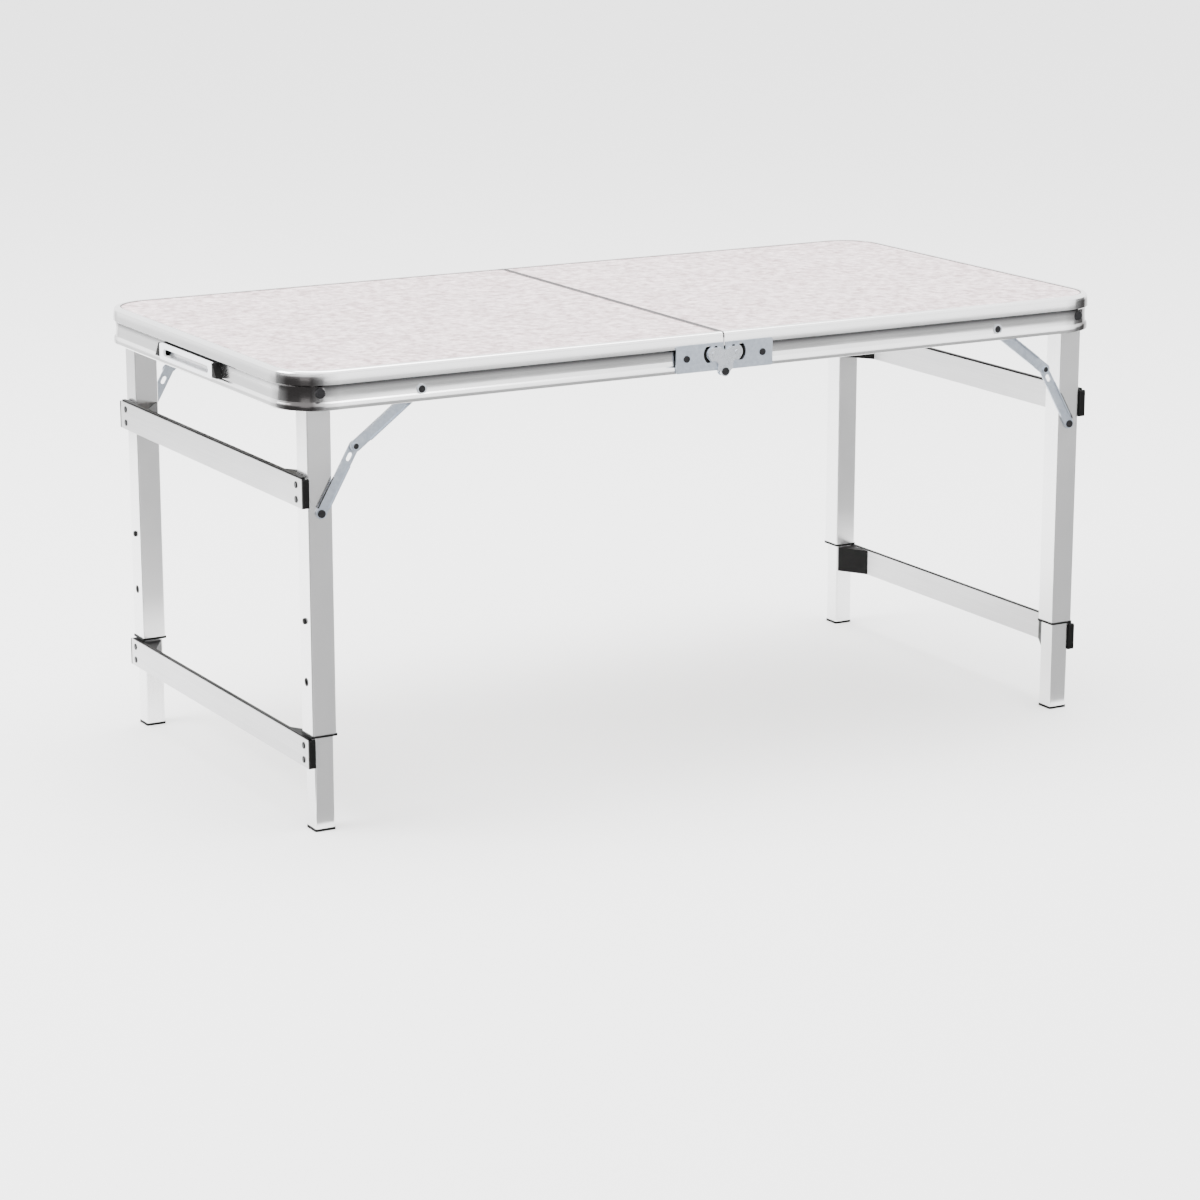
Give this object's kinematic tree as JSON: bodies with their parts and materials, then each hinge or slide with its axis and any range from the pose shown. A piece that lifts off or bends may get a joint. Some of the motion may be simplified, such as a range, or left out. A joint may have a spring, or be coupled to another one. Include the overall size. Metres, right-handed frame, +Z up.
{
  "type": "folding table",
  "caption": "Suitcase-style folding table with a split white top in a bright metal rail, telescopic square-tube leg frames, folding braces, carry handles and swing latches.",
  "frame": {"origin": "on the floor, under the middle of the table", "axes": "+X along the table's length, towards the half with the latches, +Y across it, +Z up"},
  "size_m": [1.2128, 0.6118, 0.575],
  "materials": {
    "white_laminate": "satin white laminate with a faint mottle",
    "board_core": "plain grey pressed fibreboard",
    "bright_rail": "bright anodised extrusion",
    "seam_aluminium": "grey anodised strip",
    "leg_aluminium": "satin drawn tube",
    "galvanised_steel": "bluish zinc plate",
    "rivet_steel": "dull zinc",
    "black_plastic": "moulded, fine texture",
    "grey_plastic": "moulded, light grey",
    "foot_rubber": "hard black rubber"
  },
  "bodies": {
    "left_half": {"left_board": "board_core", "left_laminate": "white_laminate", "left_edge_rail": "bright_rail", "left_seam_rail": "seam_aluminium", "left_hinge_leaves": "galvanised_steel", "left_hinge_spacers": "black_plastic", "left_fasteners": "rivet_steel", "left_leg_hinges": "rivet_steel", "left_handle_base": "black_plastic"},
    "right_half": {"right_board": "board_core", "right_laminate": "white_laminate", "right_edge_rail": "bright_rail", "right_seam_rail": "seam_aluminium", "right_hinge_leaves": "galvanised_steel", "right_hinge_spacers": "black_plastic", "right_fasteners": "rivet_steel", "right_leg_hinges": "rivet_steel", "right_handle_base": "black_plastic", "latch_mounts": "black_plastic"},
    "centre_link": {"centre_plates": "galvanised_steel", "centre_pins": "rivet_steel"},
    "front_latch": {"front_latch": "galvanised_steel"},
    "rear_latch": {"rear_latch": "galvanised_steel"},
    "left_leg": {"left_upper_tubes": "leg_aluminium", "left_tube_plugs": "black_plastic", "left_upper_crossbar": "leg_aluminium", "left_upper_brackets": "black_plastic", "left_upper_rivets": "rivet_steel", "left_collars": "black_plastic"},
    "left_height_frame": {"left_lower_tubes": "leg_aluminium", "left_lower_crossbar": "leg_aluminium", "left_lower_brackets": "black_plastic", "left_lower_rivets": "rivet_steel", "left_foot_caps": "foot_rubber"},
    "left_handle": {"left_handle_grip": "grey_plastic"},
    "left_front_lower_link": {"left_front_lower_link": "galvanised_steel"},
    "left_front_upper_link": {"left_front_upper_link": "galvanised_steel"},
    "left_front_button": {"left_front_button": "black_plastic"},
    "left_rear_lower_link": {"left_rear_lower_link": "galvanised_steel"},
    "left_rear_upper_link": {"left_rear_upper_link": "galvanised_steel"},
    "left_rear_button": {"left_rear_button": "black_plastic"},
    "right_leg": {"right_upper_tubes": "leg_aluminium", "right_tube_plugs": "black_plastic", "right_upper_crossbar": "leg_aluminium", "right_upper_brackets": "black_plastic", "right_upper_rivets": "rivet_steel", "right_collars": "black_plastic"},
    "right_height_frame": {"right_lower_tubes": "leg_aluminium", "right_lower_crossbar": "leg_aluminium", "right_lower_brackets": "black_plastic", "right_lower_rivets": "rivet_steel", "right_foot_caps": "foot_rubber"},
    "right_handle": {"right_handle_grip": "grey_plastic"},
    "right_front_lower_link": {"right_front_lower_link": "galvanised_steel"},
    "right_front_upper_link": {"right_front_upper_link": "galvanised_steel"},
    "right_front_button": {"right_front_button": "black_plastic"},
    "right_rear_lower_link": {"right_rear_lower_link": "galvanised_steel"},
    "right_rear_upper_link": {"right_rear_upper_link": "galvanised_steel"},
    "right_rear_button": {"right_rear_button": "black_plastic"}
  },
  "joints": [
    {"name": "centre_fold_left", "type": "hinge", "parent": "left_half", "child": "centre_link", "pos_m": [0, 0, 0.5255], "axis": [0, 1, 0], "range_deg": [0, 90]},
    {"name": "centre_fold_right", "type": "hinge", "parent": "centre_link", "child": "right_half", "pos_m": [0, 0, 0.5255], "axis": [0, 1, 0], "range_deg": [0, 90]},
    {"name": "left_leg_fold", "type": "hinge", "parent": "left_half", "child": "left_leg", "pos_m": [-0.5585, 0, 0.5485], "axis": [0, -1, 0], "range_deg": [0, 90]},
    {"name": "left_height", "type": "slide", "parent": "left_leg", "child": "left_height_frame", "axis": [0, 0, 1], "range_m": [-0.0765, 0]},
    {"name": "left_handle_swing", "type": "hinge", "parent": "left_half", "child": "left_handle", "pos_m": [-0.6045, 0, 0.553], "axis": [0, 1, 0], "range_deg": [0, 95]},
    {"name": "left_front_upper_link_turn", "type": "hinge", "parent": "left_half", "child": "left_front_upper_link", "pos_m": [-0.425, -0.2891, 0.542], "axis": [0, -1, 0], "range_deg": [0, 148.66]},
    {"name": "left_front_lower_link_turn", "type": "hinge", "parent": "left_leg", "child": "left_front_lower_link", "pos_m": [-0.556, -0.2876, 0.4], "axis": [0, 1, 0], "range_deg": [0, 150.04]},
    {"name": "left_front_button_press", "type": "slide", "parent": "left_leg", "child": "left_front_button", "axis": [1, 0, 0], "range_m": [0, 0.003], "stiffness_N_per_m": 300},
    {"name": "left_rear_upper_link_turn", "type": "hinge", "parent": "left_half", "child": "left_rear_upper_link", "pos_m": [-0.425, 0.2891, 0.542], "axis": [0, -1, 0], "range_deg": [0, 148.66]},
    {"name": "left_rear_lower_link_turn", "type": "hinge", "parent": "left_leg", "child": "left_rear_lower_link", "pos_m": [-0.556, 0.2876, 0.4], "axis": [0, 1, 0], "range_deg": [0, 150.04]},
    {"name": "left_rear_button_press", "type": "slide", "parent": "left_leg", "child": "left_rear_button", "axis": [1, 0, 0], "range_m": [0, 0.003], "stiffness_N_per_m": 300},
    {"name": "right_leg_fold", "type": "hinge", "parent": "right_half", "child": "right_leg", "pos_m": [0.5585, 0, 0.5485], "axis": [0, 1, 0], "range_deg": [0, 90]},
    {"name": "right_height", "type": "slide", "parent": "right_leg", "child": "right_height_frame", "axis": [0, 0, 1], "range_m": [-0.0765, 0]},
    {"name": "right_handle_swing", "type": "hinge", "parent": "right_half", "child": "right_handle", "pos_m": [0.6045, 0, 0.553], "axis": [0, -1, 0], "range_deg": [0, 95]},
    {"name": "right_front_upper_link_turn", "type": "hinge", "parent": "right_half", "child": "right_front_upper_link", "pos_m": [0.425, -0.2891, 0.542], "axis": [0, 1, 0], "range_deg": [0, 148.66]},
    {"name": "right_front_lower_link_turn", "type": "hinge", "parent": "right_leg", "child": "right_front_lower_link", "pos_m": [0.556, -0.2876, 0.4], "axis": [0, -1, 0], "range_deg": [0, 150.04]},
    {"name": "right_front_button_press", "type": "slide", "parent": "right_leg", "child": "right_front_button", "axis": [-1, 0, 0], "range_m": [0, 0.003], "stiffness_N_per_m": 300},
    {"name": "right_rear_upper_link_turn", "type": "hinge", "parent": "right_half", "child": "right_rear_upper_link", "pos_m": [0.425, 0.2891, 0.542], "axis": [0, 1, 0], "range_deg": [0, 148.66]},
    {"name": "right_rear_lower_link_turn", "type": "hinge", "parent": "right_leg", "child": "right_rear_lower_link", "pos_m": [0.556, 0.2876, 0.4], "axis": [0, -1, 0], "range_deg": [0, 150.04]},
    {"name": "right_rear_button_press", "type": "slide", "parent": "right_leg", "child": "right_rear_button", "axis": [-1, 0, 0], "range_m": [0, 0.003], "stiffness_N_per_m": 300},
    {"name": "front_latch_swing", "type": "hinge", "parent": "right_half", "child": "front_latch", "pos_m": [0.6024, -0.15, 0.549], "axis": [0, -1, 0], "range_deg": [0, 100]},
    {"name": "rear_latch_swing", "type": "hinge", "parent": "right_half", "child": "rear_latch", "pos_m": [0.6024, 0.15, 0.549], "axis": [0, -1, 0], "range_deg": [0, 100]}
  ],
  "couplings": [
    {"joint": "left_front_upper_link_turn", "follows": "left_leg_fold", "ratio": 1.6512},
    {"joint": "left_front_lower_link_turn", "follows": "left_leg_fold", "ratio": 1.6666},
    {"joint": "left_rear_upper_link_turn", "follows": "left_leg_fold", "ratio": 1.6512},
    {"joint": "left_rear_lower_link_turn", "follows": "left_leg_fold", "ratio": 1.6666},
    {"joint": "right_front_upper_link_turn", "follows": "right_leg_fold", "ratio": 1.6512},
    {"joint": "right_front_lower_link_turn", "follows": "right_leg_fold", "ratio": 1.6666},
    {"joint": "right_rear_upper_link_turn", "follows": "right_leg_fold", "ratio": 1.6512},
    {"joint": "right_rear_lower_link_turn", "follows": "right_leg_fold", "ratio": 1.6666}
  ]
}
